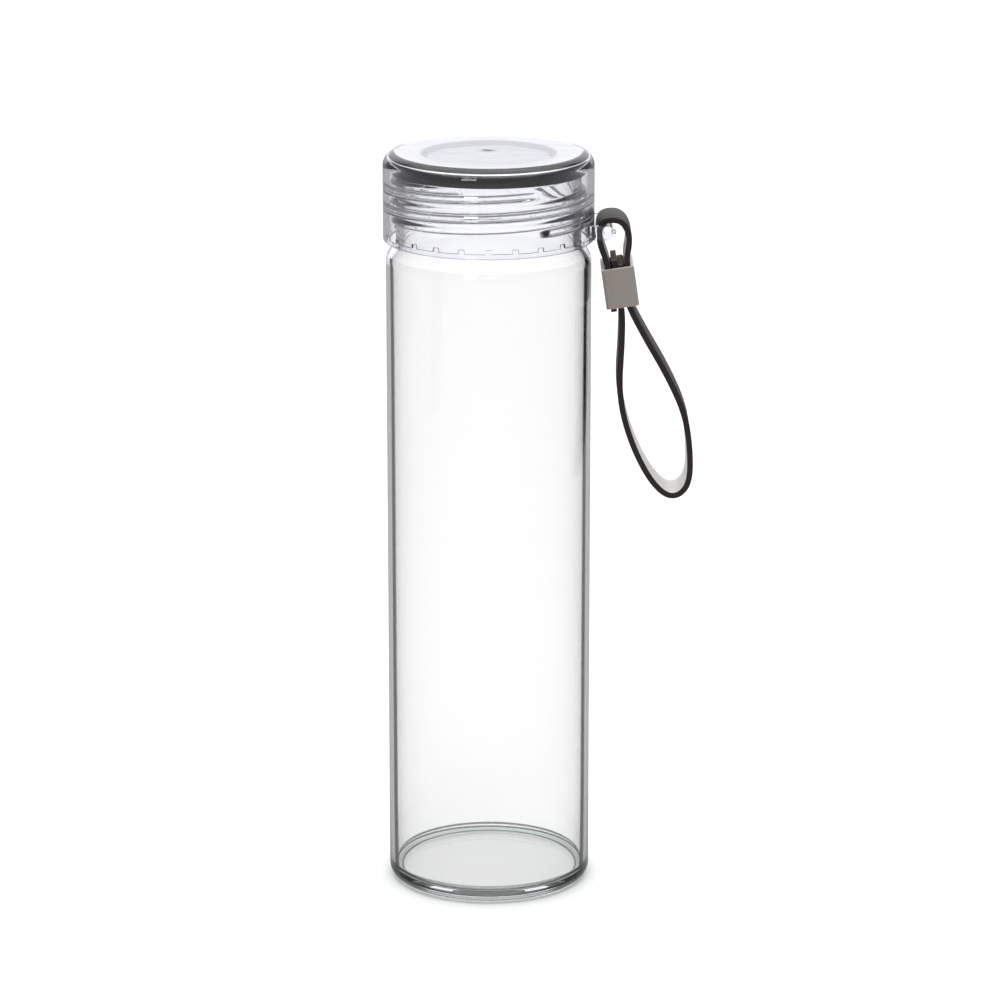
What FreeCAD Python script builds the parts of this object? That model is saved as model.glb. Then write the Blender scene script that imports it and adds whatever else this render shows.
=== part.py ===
"""Glass water bottle with a clear screw cap, its milky liner and black seal, and a wrist strap.

Millimetres. The origin is the centre of the base, on the surface the bottle stands on. +Z is up
and +X points to the strap lug.
"""
import FreeCAD, Part
import math
import os

import Sketcher

SIZES = {
    # glass bottle
    "body_radius": 30.0,
    "body_wall": 1.9,
    "floor_thick": 3.0,
    "heel_radius": 3.2,
    "floor_corner_radius": 2.2,
    "shoulder_bottom_z": 190.4,
    "neck_bottom_z": 194.6,
    "shoulder_radius": 2.6,
    "neck_radius": 27.0,
    "neck_wall": 2.2,
    "rim_z": 215.6,
    "rim_radius": 0.8,
    # thread, shared by the neck and the cap
    "thread_pitch": 5.7,
    "neck_thread_depth": 1.3,
    "neck_thread_foot": 2.3,
    "neck_thread_crest": 0.9,
    "neck_thread_low_z": 201.35,
    "neck_thread_low_angle": 165.0,
    "neck_thread_turns": 2.25,
    "cap_thread_depth": 1.5,
    "cap_thread_foot": 2.3,
    "cap_thread_crest": 1.1,
    "cap_thread_low_z": 201.35,
    "cap_thread_low_angle": 298.6,
    "cap_thread_turns": 2.0,
    "thread_root": 0.4,
    # clear cap
    "cap_radius": 30.8,
    "cap_bore_radius": 29.0,
    "cap_bottom_z": 195.0,
    "cap_top_z": 220.8,
    "cap_roof": 1.8,
    "cap_corner_radius": 4.0,
    "cap_inner_corner_radius": 1.2,
    "cap_foot_radius": 0.7,
    "gate_radius": 0.9,
    "gate_depth": 0.1,
    "rim_step_depth": 0.7,
    "rim_step_height": 1.5,
    "notch_height": 1.2,
    "notch_width": 3.1,
    "notch_overcut": 1.0,
    "notch_count": 24,
    # strap lug on the cap
    "lug_outer_x": 36.0,
    "lug_half_width": 10.0,
    "lug_arm": 1.8,
    "lug_arm_start_x": 28.4,
    "lug_low_z": 196.5,
    "lug_bar_width": 2.7,
    "lug_bar_height": 4.1,
    "lug_bar_rounding": 1.3,
    "nub_radius": 0.65,
    "nub_length": 0.8,
    "nub_y": -8.9,
    "nub_z": 198.9,
    # liner and seal under the roof
    "roof_gap": 0.1,
    "liner_radius": 27.6,
    "liner_plate": 0.8,
    "liner_plug_radius": 24.3,
    "liner_plug_wall": 1.1,
    "liner_plug_low_z": 214.4,
    "liner_dish_radius": 18.0,
    "liner_dish_rim_radius": 19.8,
    "liner_dish_depth": 1.3,
    "seal_gap": 0.05,
    "seal_radius": 28.2,
    "seal_lip_radius": 27.35,
    "seal_collar_radius": 27.65,
    "seal_collar_rise": 0.65,
    "seal_lip_drop": 0.35,
    "seal_edge_radius": 0.3,
    # strap strips and their ferrule
    "strap_width": 15.0,
    "strap_thick": 1.7,
    "ferrule_width": 9.6,
    "ferrule_depth": 17.6,
    "ferrule_height": 11.7,
    "ferrule_wall": 1.1,
    "ferrule_end_wall": 1.0,
    "ferrule_corner_radius": 1.0,
    "ferrule_edge_radius": 0.3,
    "ferrule_x": 38.2,
    "ferrule_z": 182.15,
    "ferrule_tilt": 8.3,
}

# Centre lines of the two strips, in the plane across their width, X then Z. The hanger goes from
# its cut end under the ferrule up through it, over the lug bar and back down into it. The wrist
# loop goes from its taller cut end down through the ferrule, round, and back up to the other end.
HANGER_ROUTE = [
    (36.52, 174.83), (35.5, 181.25), (34.54, 189.09), (32.1, 195), (32.05, 199.7), (33.5, 201.85),
    (38.3, 201.95), (40.7, 198.3), (40.75, 194.2), (39.87, 190.07), (40.83, 183.54),
]
WRIST_ROUTE = [
    (36.3, 189.96), (37.63, 181.06), (38.94, 174.88), (38.9, 165.5), (38, 150.6), (40.7, 138.2),
    (46, 126.2), (51.4, 119.6), (55.8, 119.1), (59.1, 123.2), (59.2, 132.5), (57.6, 143.8),
    (52.4, 155.3), (44.7, 168.6), (40.39, 177.21), (39.12, 182.79), (38.27, 188.63),
]
ARC_SHARE = 0.45
FIND_WITHIN = 0.01
PARALLEL = 0.999
AXIS_Y = FreeCAD.Vector(0, 1, 0)
AXIS_Z = FreeCAD.Vector(0, 0, 1)

doc = FreeCAD.newDocument("glass_water_bottle")
sheet = doc.addObject("Spreadsheet::Sheet", "Sizes")
for row, (alias, value) in enumerate(SIZES.items(), start=1):
    sheet.set(f"A{row}", alias)
    sheet.set(f"B{row}", str(value))
    sheet.setAlias(f"B{row}", alias)
doc.recompute()


def size(alias):
    """A driving dimension, read from the sheet."""
    return float(sheet.get(alias))


def formula(text):
    """The expression with every alias written as a cell of the sheet."""
    words = text.split()
    return " ".join(f"Sizes.{word}" if word in SIZES else word for word in words)


def value_of(text):
    """The number that a formula of aliases comes to, as a sketch's first guess."""
    holder = doc.addObject("App::FeaturePython", "Holder")
    holder.addProperty("App::PropertyFloat", "Value")
    holder.setExpression("Value", formula(text))
    holder.recompute()
    number = holder.Value
    doc.removeObject(holder.Name)
    return number


def new_body(label):
    body = doc.addObject("PartDesign::Body", label)
    body.Label = label
    return body


def new_sketch(body, name, plane, offset=None):
    """A sketch on one of the body's own origin planes."""
    sketch = body.newObject("Sketcher::SketchObject", name)
    role = next(item for item in body.Origin.OriginFeatures if item.Role == plane)
    sketch.AttachmentSupport = [(role, "")]
    sketch.MapMode = "FlatFace"
    if offset is not None:
        sketch.AttachmentOffset = offset
    return sketch


def bind_point(sketch, line, across, up, tag):
    """Tie the start of one line to two formulas, measured from the sketch's origin."""
    for letter, kind, axis, text in (("x", "DistanceX", -2, across), ("y", "DistanceY", -1, up)):
        if text == "0":
            sketch.addConstraint(Sketcher.Constraint("PointOnObject", line, 1, axis))
            continue
        index = sketch.addConstraint(Sketcher.Constraint(kind, -1, 1, line, 1, value_of(text)))
        sketch.renameConstraint(index, f"{tag}_{letter}")
        sketch.setExpression(f"Constraints.{tag}_{letter}", formula(text))


def outline(sketch, points):
    """A closed outline of straight edges; each corner is a pair of formulas."""
    spots = [FreeCAD.Vector(value_of(across), value_of(up), 0) for across, up in points]
    first = sketch.GeometryCount
    for start, end in zip(spots, spots[1:] + spots[:1]):
        sketch.addGeometry(Part.LineSegment(start, end))
    count = len(spots)
    for index in range(count):
        line = first + index
        following = first + (index + 1) % count
        sketch.addConstraint(Sketcher.Constraint("Coincident", line, 2, following, 1))
    for index, (across, up) in enumerate(points):
        bind_point(sketch, first + index, across, up, f"corner{first + index}")


def revolve(body, name, points):
    """A full turn of a closed outline, radius and height, about the bottle's axis."""
    sketch = new_sketch(body, f"{name}_profile", "XZ_Plane")
    outline(sketch, points)
    turned = body.newObject("PartDesign::Revolution", name)
    turned.Profile = sketch
    turned.ReferenceAxis = (sketch, ["V_Axis"])
    turned.Angle = 360.0
    doc.recompute()
    return turned


def fillet(body, name, radius, wanted):
    """Round the edges of the body's tip that the given test picks."""
    base = body.Tip
    edges = enumerate(base.Shape.Edges, start=1)
    names = [f"Edge{number}" for number, edge in edges if wanted(edge)]
    rounded = body.newObject("PartDesign::Fillet", name)
    rounded.Base = (base, names)
    rounded.setExpression("Radius", formula(radius))
    doc.recompute()


def round_edges(body, name, radius, spots):
    """Round the circular edges whose radius and height are the given pairs of numbers."""
    def wanted(edge):
        curve = edge.Curve
        if curve.TypeId != "Part::GeomCircle":
            return False
        place = (curve.Radius, curve.Center.z)
        return any(math.dist(place, spot) < FIND_WITHIN for spot in spots)

    fillet(body, name, radius, wanted)


def is_straight(edge, direction):
    """Whether an edge is a straight line along the given direction."""
    return edge.Curve.TypeId == "Part::GeomLine" and abs(edge.Curve.Direction.dot(direction)) > PARALLEL


def thread(body, name, points, low_angle, turns):
    """A right-hand ridge: an outline carried round the axis and up by the pitch."""
    turn = FreeCAD.Rotation(AXIS_Y, size(low_angle))
    sketch = new_sketch(body, f"{name}_section", "XZ_Plane", FreeCAD.Placement(FreeCAD.Vector(), turn))
    outline(sketch, points)
    ridge = body.newObject("PartDesign::AdditiveHelix", name)
    ridge.Profile = sketch
    ridge.ReferenceAxis = (sketch, ["V_Axis"])
    ridge.Mode = 1
    ridge.setExpression("Pitch", formula("thread_pitch"))
    ridge.setExpression("Turns", formula(turns))
    doc.recompute()
    return ridge


def make_bottle():
    """One blown borosilicate tube: flat base, straight wall, round shoulder, threaded neck."""
    body = new_body("glass_bottle")
    revolve(body, "bottle_wall", [
        ("0", "0"),
        ("body_radius", "0"),
        ("body_radius", "shoulder_bottom_z"),
        ("neck_radius", "neck_bottom_z"),
        ("neck_radius", "rim_z"),
        ("neck_radius - neck_wall", "rim_z"),
        ("neck_radius - neck_wall", "neck_bottom_z - body_wall"),
        ("body_radius - body_wall", "shoulder_bottom_z - body_wall"),
        ("body_radius - body_wall", "floor_thick"),
        ("0", "floor_thick"),
    ])
    outer, neck = size("body_radius"), size("neck_radius")
    inner, mouth = outer - size("body_wall"), neck - size("neck_wall")
    low, high, wall = size("shoulder_bottom_z"), size("neck_bottom_z"), size("body_wall")
    round_edges(body, "heel_round", "heel_radius", [(outer, 0.0)])
    round_edges(body, "floor_round", "floor_corner_radius", [(inner, size("floor_thick"))])
    round_edges(body, "shoulder_round", "shoulder_radius", [
        (outer, low), (neck, high), (inner, low - wall), (mouth, high - wall)])
    round_edges(body, "rim_round", "rim_radius", [(neck, size("rim_z")), (mouth, size("rim_z"))])
    thread(body, "neck_thread", [
        ("neck_radius - thread_root", "neck_thread_low_z - neck_thread_foot / 2"),
        ("neck_radius + neck_thread_depth", "neck_thread_low_z - neck_thread_crest / 2"),
        ("neck_radius + neck_thread_depth", "neck_thread_low_z + neck_thread_crest / 2"),
        ("neck_radius - thread_root", "neck_thread_low_z + neck_thread_foot / 2"),
    ], "neck_thread_low_angle", "neck_thread_turns")
    return body


def make_cap():
    """The clear moulded cap: round top corner, inner thread, notched foot and strap lug."""
    body = new_body("screw_cap")
    revolve(body, "cap_wall", [
        ("0", "cap_top_z - gate_depth"),
        ("gate_radius", "cap_top_z - gate_depth"),
        ("gate_radius", "cap_top_z"),
        ("cap_radius", "cap_top_z"),
        ("cap_radius", "cap_bottom_z"),
        ("cap_bore_radius + rim_step_depth", "cap_bottom_z"),
        ("cap_bore_radius + rim_step_depth", "cap_bottom_z + rim_step_height"),
        ("cap_bore_radius", "cap_bottom_z + rim_step_height"),
        ("cap_bore_radius", "cap_top_z - cap_roof"),
        ("0", "cap_top_z - cap_roof"),
    ])
    outer, bore = size("cap_radius"), size("cap_bore_radius")
    top, bottom = size("cap_top_z"), size("cap_bottom_z")
    round_edges(body, "top_corner", "cap_corner_radius", [(outer, top)])
    round_edges(body, "roof_corner", "cap_inner_corner_radius", [(bore, top - size("cap_roof"))])
    round_edges(body, "foot_corner", "cap_foot_radius", [(outer, bottom)])
    cut_notches(body)
    thread(body, "cap_thread", [
        ("cap_bore_radius + thread_root", "cap_thread_low_z - cap_thread_foot / 2"),
        ("cap_bore_radius + thread_root", "cap_thread_low_z + cap_thread_foot / 2"),
        ("cap_bore_radius - cap_thread_depth", "cap_thread_low_z + cap_thread_crest / 2"),
        ("cap_bore_radius - cap_thread_depth", "cap_thread_low_z - cap_thread_crest / 2"),
    ], "cap_thread_low_angle", "cap_thread_turns")
    add_lug(body)
    return body


def cut_notches(body):
    """A ring of square notches in the step inside the cap's foot."""
    lift = FreeCAD.Placement(FreeCAD.Vector(0, 0, size("cap_bottom_z")), FreeCAD.Rotation())
    sketch = new_sketch(body, "notch_outline", "XY_Plane", lift)
    outline(sketch, [
        ("cap_bore_radius - notch_overcut", "-1 * notch_width / 2"),
        ("cap_bore_radius + rim_step_depth", "-1 * notch_width / 2"),
        ("cap_bore_radius + rim_step_depth", "notch_width / 2"),
        ("cap_bore_radius - notch_overcut", "notch_width / 2"),
    ])
    notch = body.newObject("PartDesign::Pocket", "notch")
    notch.Profile = sketch
    notch.Reversed = True
    notch.setExpression("Length", formula("rim_step_height + notch_height"))
    doc.recompute()
    ring = body.newObject("PartDesign::PolarPattern", "notch_ring")
    ring.Originals = [notch]
    ring.Axis = (sketch, ["N_Axis"])
    ring.Angle = 360.0
    ring.setExpression("Occurrences", formula("notch_count"))
    body.Tip = ring
    doc.recompute()


def add_lug(body):
    """A bar with round edges, held off the cap by two arms, with a moulding nub on its end."""
    lift = FreeCAD.Placement(FreeCAD.Vector(0, 0, size("lug_low_z")), FreeCAD.Rotation())
    sketch = new_sketch(body, "lug_arm_outline", "XY_Plane", lift)
    bar_middle = "lug_outer_x - lug_bar_width / 2"
    for side in ("-1 * ", ""):
        outline(sketch, [
            ("lug_arm_start_x", f"{side}lug_half_width"),
            (bar_middle, f"{side}lug_half_width"),
            (bar_middle, f"{side}( lug_half_width - lug_arm )"),
            ("lug_arm_start_x", f"{side}( lug_half_width - lug_arm )"),
        ])
    arms = body.newObject("PartDesign::Pad", "lug_arms")
    arms.Profile = sketch
    arms.setExpression("Length", formula("lug_bar_height"))
    doc.recompute()

    bar_sketch = new_sketch(body, "lug_bar_section", "XZ_Plane")
    outline(bar_sketch, [
        ("lug_outer_x - lug_bar_width", "lug_low_z"),
        ("lug_outer_x", "lug_low_z"),
        ("lug_outer_x", "lug_low_z + lug_bar_height"),
        ("lug_outer_x - lug_bar_width", "lug_low_z + lug_bar_height"),
    ])
    bar = body.newObject("PartDesign::Pad", "lug_bar")
    bar.Profile = bar_sketch
    bar.SideType = "Symmetric"
    bar.setExpression("Length", formula("2 * lug_half_width"))
    doc.recompute()

    inside, outside = size("lug_outer_x") - size("lug_bar_width"), size("lug_outer_x")
    low = size("lug_low_z")
    high = low + size("lug_bar_height")
    corners = [(across, up) for across in (inside, outside) for up in (low, high)]

    def is_bar_edge(edge):
        place = (edge.CenterOfMass.x, edge.CenterOfMass.z)
        return is_straight(edge, AXIS_Y) and any(math.dist(place, spot) < FIND_WITHIN for spot in corners)

    fillet(body, "bar_rounding", "lug_bar_rounding", is_bar_edge)
    reach = FreeCAD.Placement(FreeCAD.Vector(0, 0, bar_centre_x()), FreeCAD.Rotation())
    nub_sketch = new_sketch(body, "nub_circle", "YZ_Plane", reach)
    centre = FreeCAD.Vector(size("nub_y"), size("nub_z"), 0)
    nub_sketch.addGeometry(Part.Circle(centre, AXIS_Z, size("nub_radius")))
    for kind, alias in (("DistanceX", "nub_y"), ("DistanceY", "nub_z")):
        index = nub_sketch.addConstraint(Sketcher.Constraint(kind, -1, 1, 0, 3, size(alias)))
        nub_sketch.renameConstraint(index, alias)
        nub_sketch.setExpression(f"Constraints.{alias}", formula(alias))
    index = nub_sketch.addConstraint(Sketcher.Constraint("Radius", 0, size("nub_radius")))
    nub_sketch.renameConstraint(index, "nub_radius")
    nub_sketch.setExpression("Constraints.nub_radius", formula("nub_radius"))
    nub = body.newObject("PartDesign::Pad", "lug_nub")
    nub.Profile = nub_sketch
    nub.setExpression("Length", formula("lug_bar_width / 2 + nub_length"))
    doc.recompute()


def bar_centre_x():
    return size("lug_outer_x") - size("lug_bar_width") / 2


def make_liner():
    """The milky plate under the roof: dished middle, flat flange and a plug wall in the mouth."""
    body = new_body("liner_disc")
    top = "cap_top_z - cap_roof - roof_gap"
    dish = "cap_top_z - cap_roof - roof_gap - liner_dish_depth"
    revolve(body, "liner_plate", [
        ("0", dish),
        ("liner_dish_radius", dish),
        ("liner_dish_rim_radius", top),
        ("liner_radius", top),
        ("liner_radius", f"{top} - liner_plate"),
        ("liner_plug_radius", f"{top} - liner_plate"),
        ("liner_plug_radius", "liner_plug_low_z"),
        ("liner_plug_radius - liner_plug_wall", "liner_plug_low_z"),
        ("liner_plug_radius - liner_plug_wall", f"{top} - liner_plate"),
        ("liner_dish_rim_radius + liner_plate / 2", f"{top} - liner_plate"),
        ("liner_dish_radius + liner_plate / 2", f"{dish} - liner_plate"),
        ("0", f"{dish} - liner_plate"),
    ])
    return body


def make_seal():
    """The black silicone ring between the liner's plate and the glass rim, with a collar that
    hides the plate's edge."""
    body = new_body("seal_ring")
    shelf = "cap_top_z - cap_roof - roof_gap - liner_plate"
    revolve(body, "seal_section", [
        ("liner_plug_radius + seal_gap", shelf),
        ("seal_collar_radius", shelf),
        ("seal_collar_radius", f"{shelf} + seal_collar_rise"),
        ("seal_radius", f"{shelf} + seal_collar_rise"),
        ("seal_radius", "rim_z - seal_lip_drop"),
        ("seal_lip_radius", "rim_z - seal_lip_drop"),
        ("seal_lip_radius", "rim_z + seal_gap"),
        ("liner_plug_radius + seal_gap", "rim_z + seal_gap"),
    ])
    radius = size("seal_radius")
    roof = size("cap_top_z") - size("cap_roof") - size("roof_gap")
    high = roof - size("liner_plate") + size("seal_collar_rise")
    low = size("rim_z") - size("seal_lip_drop")
    round_edges(body, "seal_rounding", "seal_edge_radius", [(radius, high), (radius, low)])
    return body


def make_ferrule():
    """The grey sleeve that grips the strap's layers, tilted as the strap hangs."""
    body = new_body("strap_ferrule")
    sketch = new_sketch(body, "sleeve_outline", "XY_Plane")
    for half_x, half_y in (
            ("ferrule_width / 2", "ferrule_depth / 2"),
            ("( ferrule_width / 2 - ferrule_wall )", "( ferrule_depth / 2 - ferrule_end_wall )")):
        outline(sketch, [
            (f"-1 * {half_x}", f"-1 * {half_y}"),
            (half_x, f"-1 * {half_y}"),
            (half_x, half_y),
            (f"-1 * {half_x}", half_y),
        ])
    sleeve = body.newObject("PartDesign::Pad", "sleeve")
    sleeve.Profile = sketch
    sleeve.SideType = "Symmetric"
    sleeve.setExpression("Length", formula("ferrule_height"))
    doc.recompute()

    def is_outer(edge):
        return abs(edge.CenterOfMass.x) > size("ferrule_width") / 2 - FIND_WITHIN

    fillet(body, "sleeve_corners", "ferrule_corner_radius",
           lambda edge: is_straight(edge, AXIS_Z) and is_outer(edge))
    end_z = size("ferrule_height") / 2
    fillet(body, "sleeve_rims", "ferrule_edge_radius",
           lambda edge: abs(abs(edge.CenterOfMass.z) - end_z) < FIND_WITHIN)
    place = FreeCAD.Vector(size("ferrule_x"), 0, size("ferrule_z"))
    body.Placement = FreeCAD.Placement(place, FreeCAD.Rotation(AXIS_Y, -size("ferrule_tilt")))
    return body


def strip_path(route):
    """Straight runs joined by tangent arcs, each as large as its two runs allow."""
    points = [FreeCAD.Vector(across, 0, up) for across, up in route]
    edges = []
    start = points[0]
    for before, corner, after in zip(points, points[1:], points[2:]):
        back, ahead = before - corner, after - corner
        reach = ARC_SHARE * min(back.Length, ahead.Length)
        half_turn = (math.pi - back.getAngle(ahead)) / 2
        radius = reach / math.tan(half_turn)
        back.normalize()
        ahead.normalize()
        bisector = (back + ahead).normalize()
        middle = corner + bisector * radius * (1 / math.cos(half_turn) - 1)
        enter, leave = corner + back * reach, corner + ahead * reach
        edges.append(Part.LineSegment(start, enter).toShape())
        edges.append(Part.Arc(enter, middle, leave).toShape())
        print(f"strap bend at {corner.x:.1f}, {corner.z:.1f}: radius {radius:.1f}")
        start = leave
    edges.append(Part.LineSegment(start, points[-1]).toShape())
    return Part.Wire(edges)


def make_strip(name, route):
    """One flat strip swept along its route, with its width across the lug bar."""
    path = strip_path(route)
    start, ahead = path.Edges[0].Vertexes[0].Point, path.Edges[0].tangentAt(0)
    side = ahead.cross(AXIS_Y)
    half_thick, half_width = size("strap_thick") / 2, size("strap_width") / 2
    corners = [start + side * across * half_thick + AXIS_Y * along * half_width
               for across, along in ((-1, -1), (1, -1), (1, 1), (-1, 1), (-1, -1))]
    band = path.makePipeShell([Part.makePolygon(corners)], True, False)
    expected = size("strap_thick") * size("strap_width") * path.Length
    print(f"{name} length {path.Length:.1f}, volume {band.Volume:.0f} of {expected:.0f}")
    strip = doc.addObject("Part::Feature", name)
    strip.Label = name
    strip.Shape = band
    return strip


def check(pieces):
    """Stop if any feature failed or any piece isn't one valid solid."""
    doc.recompute()
    for item in doc.Objects:
        if "Invalid" in item.State or "Error" in item.State:
            raise RuntimeError(f"{item.Name} failed: {item.State}")
    for piece in pieces:
        shape = piece.Shape
        if shape.isNull() or not shape.isValid() or len(shape.Solids) != 1 or shape.Volume <= 0:
            raise RuntimeError(f"{piece.Label} isn't one valid solid")


pieces = [
    make_bottle(), make_cap(), make_liner(), make_seal(), make_ferrule(),
    make_strip("hanger_strap", HANGER_ROUTE), make_strip("wrist_strap", WRIST_ROUTE),
]
check(pieces)
os.makedirs("parts", exist_ok=True)
for piece in pieces:
    piece.Shape.exportStep(f"parts/{piece.Label}.step")
    print(f"{piece.Label}: {piece.Shape.Volume:.0f} cubic mm")
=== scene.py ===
"""Clear glass water bottle with a screw cap, seal, liner and wrist strap, in metres."""
import math

import bpy
import numpy as np
from bpy.props import FloatProperty, FloatVectorProperty, IntProperty, PointerProperty, StringProperty
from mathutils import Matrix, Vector


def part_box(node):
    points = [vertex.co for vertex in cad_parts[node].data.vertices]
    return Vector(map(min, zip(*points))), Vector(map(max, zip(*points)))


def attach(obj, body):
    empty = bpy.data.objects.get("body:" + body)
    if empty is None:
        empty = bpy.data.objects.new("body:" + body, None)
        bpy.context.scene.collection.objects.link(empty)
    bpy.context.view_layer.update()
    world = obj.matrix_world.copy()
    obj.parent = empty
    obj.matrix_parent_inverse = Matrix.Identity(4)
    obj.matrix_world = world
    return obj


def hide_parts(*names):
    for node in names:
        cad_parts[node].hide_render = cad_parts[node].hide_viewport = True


bl_info = {
    "name": "Glass Water Bottle",
    "version": (1, 0, 0),
    "blender": (4, 5, 0),
    "location": "View3D > Sidebar > Bottle",
    "description": "Builds a glass water bottle with a clear cap and a wrist strap",
    "category": "Object",
}

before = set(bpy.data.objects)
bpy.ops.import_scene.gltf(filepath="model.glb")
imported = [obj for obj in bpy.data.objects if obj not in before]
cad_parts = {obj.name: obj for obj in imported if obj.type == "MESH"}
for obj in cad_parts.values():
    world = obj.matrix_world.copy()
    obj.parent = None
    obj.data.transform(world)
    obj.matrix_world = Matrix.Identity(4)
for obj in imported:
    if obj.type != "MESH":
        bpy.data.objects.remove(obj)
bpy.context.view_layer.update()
MM = 0.001
SAME_PLACE = 1e-6
TURN_STEPS = 216
THREAD_ROWS = 260
PITCH = 5.7 * MM
THREAD_FOOT = 2.5 * MM
NECK_THREAD_ANGLE = 165
CAP_THREAD_ANGLE = 298.6
LUG_ROOT = 28.3 * MM
LUG_ARM = 1.8 * MM
NUB_RADIUS, NUB_LENGTH = 0.65 * MM, 1.6 * MM
NUB_Y, NUB_Z = -8.9 * MM, 198.9 * MM
# The painted shade line on the heel's outer skin lies between these two shares of its height.
PAINTED_LINE_ON_HEEL = (0.78, 0.95)  # shares of the heel's height between which it draws its dark line

BOTTLE_LOW, BOTTLE_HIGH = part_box("glass_bottle")
CAP_LOW, CAP_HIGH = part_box("screw_cap")
LINER_LOW, LINER_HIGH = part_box("liner_disc")
SEAL_LOW, SEAL_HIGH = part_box("seal_ring")

# Centre lines of the two strips in the plane across their width, X then Z in millimetres. The
# hanger goes up through the ferrule, over the lug bar and back down into it. The wrist loop goes
# from its taller cut end down through the ferrule, round, and back up to its other end.
HANGER_ROUTE = [
    (36.52, 174.83), (35.5, 181.25), (34.54, 189.09), (32.1, 195), (32.05, 199.7), (33.5, 201.85),
    (38.3, 201.95), (40.7, 198.3), (40.75, 194.2), (39.87, 190.07), (40.83, 183.54),
]
WRIST_ROUTE = [
    (36.3, 189.96), (37.63, 181.06), (38.94, 174.88), (38.9, 165.5), (38, 150.6), (40.7, 138.2),
    (46, 126.2), (51.4, 119.6), (55.8, 119.1), (59.1, 123.2), (59.2, 132.5), (57.6, 143.8),
    (52.4, 155.3), (44.7, 168.6), (40.39, 177.21), (39.12, 182.79), (38.27, 188.63),
]


# ---------------------------------------------------------------- sizes and colours
def length(name, description, millimetres):
    return FloatProperty(name=name, description=description, default=millimetres * MM,
                         unit="LENGTH", subtype="DISTANCE", precision=5)


def colour(name, description, code):
    return StringProperty(name=name, description=description, default=code)


class BottleSizes(bpy.types.PropertyGroup):
    body_wall: length("Body wall", "Thickness of the straight glass wall", 1.9)
    floor_thick: length("Floor", "Thickness of the glass floor", 3.0)
    heel_radius: length("Heel radius", "Rounding between the base and the wall", 3.2)
    floor_corner: length("Floor corner", "Rounding inside, between the floor and the wall", 2.2)
    shoulder_start: length("Shoulder start", "Height where the wall starts to turn in", 189.0)
    neck_start: length("Neck start", "Height where the neck starts", 196.2)
    neck_radius: length("Neck radius", "Outside radius of the neck between the threads", 27.0)
    neck_wall: length("Neck wall", "Thickness of the neck's wall", 2.2)
    rim_radius: length("Rim radius", "Rounding of the rim's two edges", 0.8)
    thread_depth: length("Thread depth", "How far the thread stands out of the neck", 1.3)
    thread_low: length("Thread start", "Height of the thread's lower end", 201.35)
    thread_turns: FloatProperty(name="Turns", description="Turns of the neck's thread", default=2.25)


class CapSizes(bpy.types.PropertyGroup):
    bore_radius: length("Bore radius", "Inside radius of the cap's wall", 29.0)
    roof: length("Roof", "Thickness of the cap's roof", 1.8)
    corner: length("Top corner", "Rounding between the wall and the roof, outside", 4.0)
    inner_corner: length("Roof corner", "Rounding between the wall and the roof, inside", 1.2)
    foot_corner: length("Foot corner", "Rounding at the cap's foot", 0.7)
    step_height: length("Step height", "Height of the wider band inside the foot", 1.5)
    step_depth: length("Step depth", "How much wider the band inside the foot is", 0.7)
    notch_height: length("Notch height", "Height of the notches over the band", 1.2)
    notches: IntProperty(name="Notches", description="Number of notches round the foot", default=24)
    thread_depth: length("Thread depth", "How far the thread stands into the bore", 1.5)
    thread_low: length("Thread start", "Height of the thread's lower end", 201.35)
    thread_turns: FloatProperty(name="Turns", description="Turns of the cap's thread", default=2.0)
    lug_outer: length("Lug reach", "Distance of the bar's outer side from the axis", 36.0)
    lug_half: length("Lug half width", "Half the lug's length along its bar", 10.0)
    lug_low: length("Lug foot", "Height of the bar's underside", 196.5)
    bar_width: length("Bar width", "Thickness of the bar", 2.7)
    bar_height: length("Bar height", "Height of the bar", 4.1)
    bar_rounding: length("Bar rounding", "Rounding of the lug bar's four long edges", 1.3)


class StrapSizes(bpy.types.PropertyGroup):
    width: length("Strap width", "Width of the flat band", 15.0)
    thick: length("Strap thickness", "Thickness of the flat band", 1.7)
    edge_radius: length("Strap edge", "Rounding of the band's long edges", 0.35)
    grip_depth: length("Grip depth", "How far under the ferrule's middle the wrist loop is free", 4.6)
    sleeve_width: length("Ferrule width", "Ferrule across the strap's layers", 9.6)
    sleeve_depth: length("Ferrule depth", "Ferrule along the strap's width", 17.6)
    sleeve_height: length("Ferrule height", "Ferrule along the strap", 11.7)
    sleeve_wall: length("Ferrule wall", "Ferrule wall beside the layers", 1.1)
    sleeve_end: length("Ferrule end wall", "Ferrule wall at the strap's edges", 1.0)
    sleeve_tilt: FloatProperty(name="Tilt", description="Lean of the ferrule as it hangs",
                               default=math.radians(-8.3), subtype="ANGLE")
    sleeve_centre: FloatVectorProperty(name="Ferrule centre", description="Middle of the ferrule",
                                       default=(0.0382, 0.0, 0.18215), subtype="TRANSLATION")


class FinishColours(bpy.types.PropertyGroup):
    glass: colour("Glass", "Colour through a thick piece of the glass", "#E9F5EF")
    cap: colour("Cap", "Colour through a thick piece of the cap", "#EDF0FA")
    liner: colour("Liner", "Milky plate", "#A9ADB8")
    # Painted shade on the liner's dish walls and painted light on its flange and outer faces.
    liner_ring_painted_shade: colour("Liner rings", "The plate's dish walls, seen edgewise", "#5A5D68")
    liner_flange_painted_light: colour("Liner flange", "The plate's thin border", "#CDCFD6")
    seal: colour("Seal", "Silicone ring", "#050505")
    strap_face: colour("Strap face", "Coated outer face", "#261E1C")
    strap_back: colour("Strap back", "Pale inner face", "#DCDAD9")
    strap_cut: colour("Strap end", "Cut end's fibres", "#6B5D50")
    ferrule: colour("Ferrule", "Grey moulded sleeve", "#8F8781")
    # Painted light: the paler grey laid on the ferrule's thin rims.
    ferrule_rim_painted_light: colour("Ferrule rim", "Sleeve's thin rims, where light comes through", "#DDD9D6")


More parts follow.
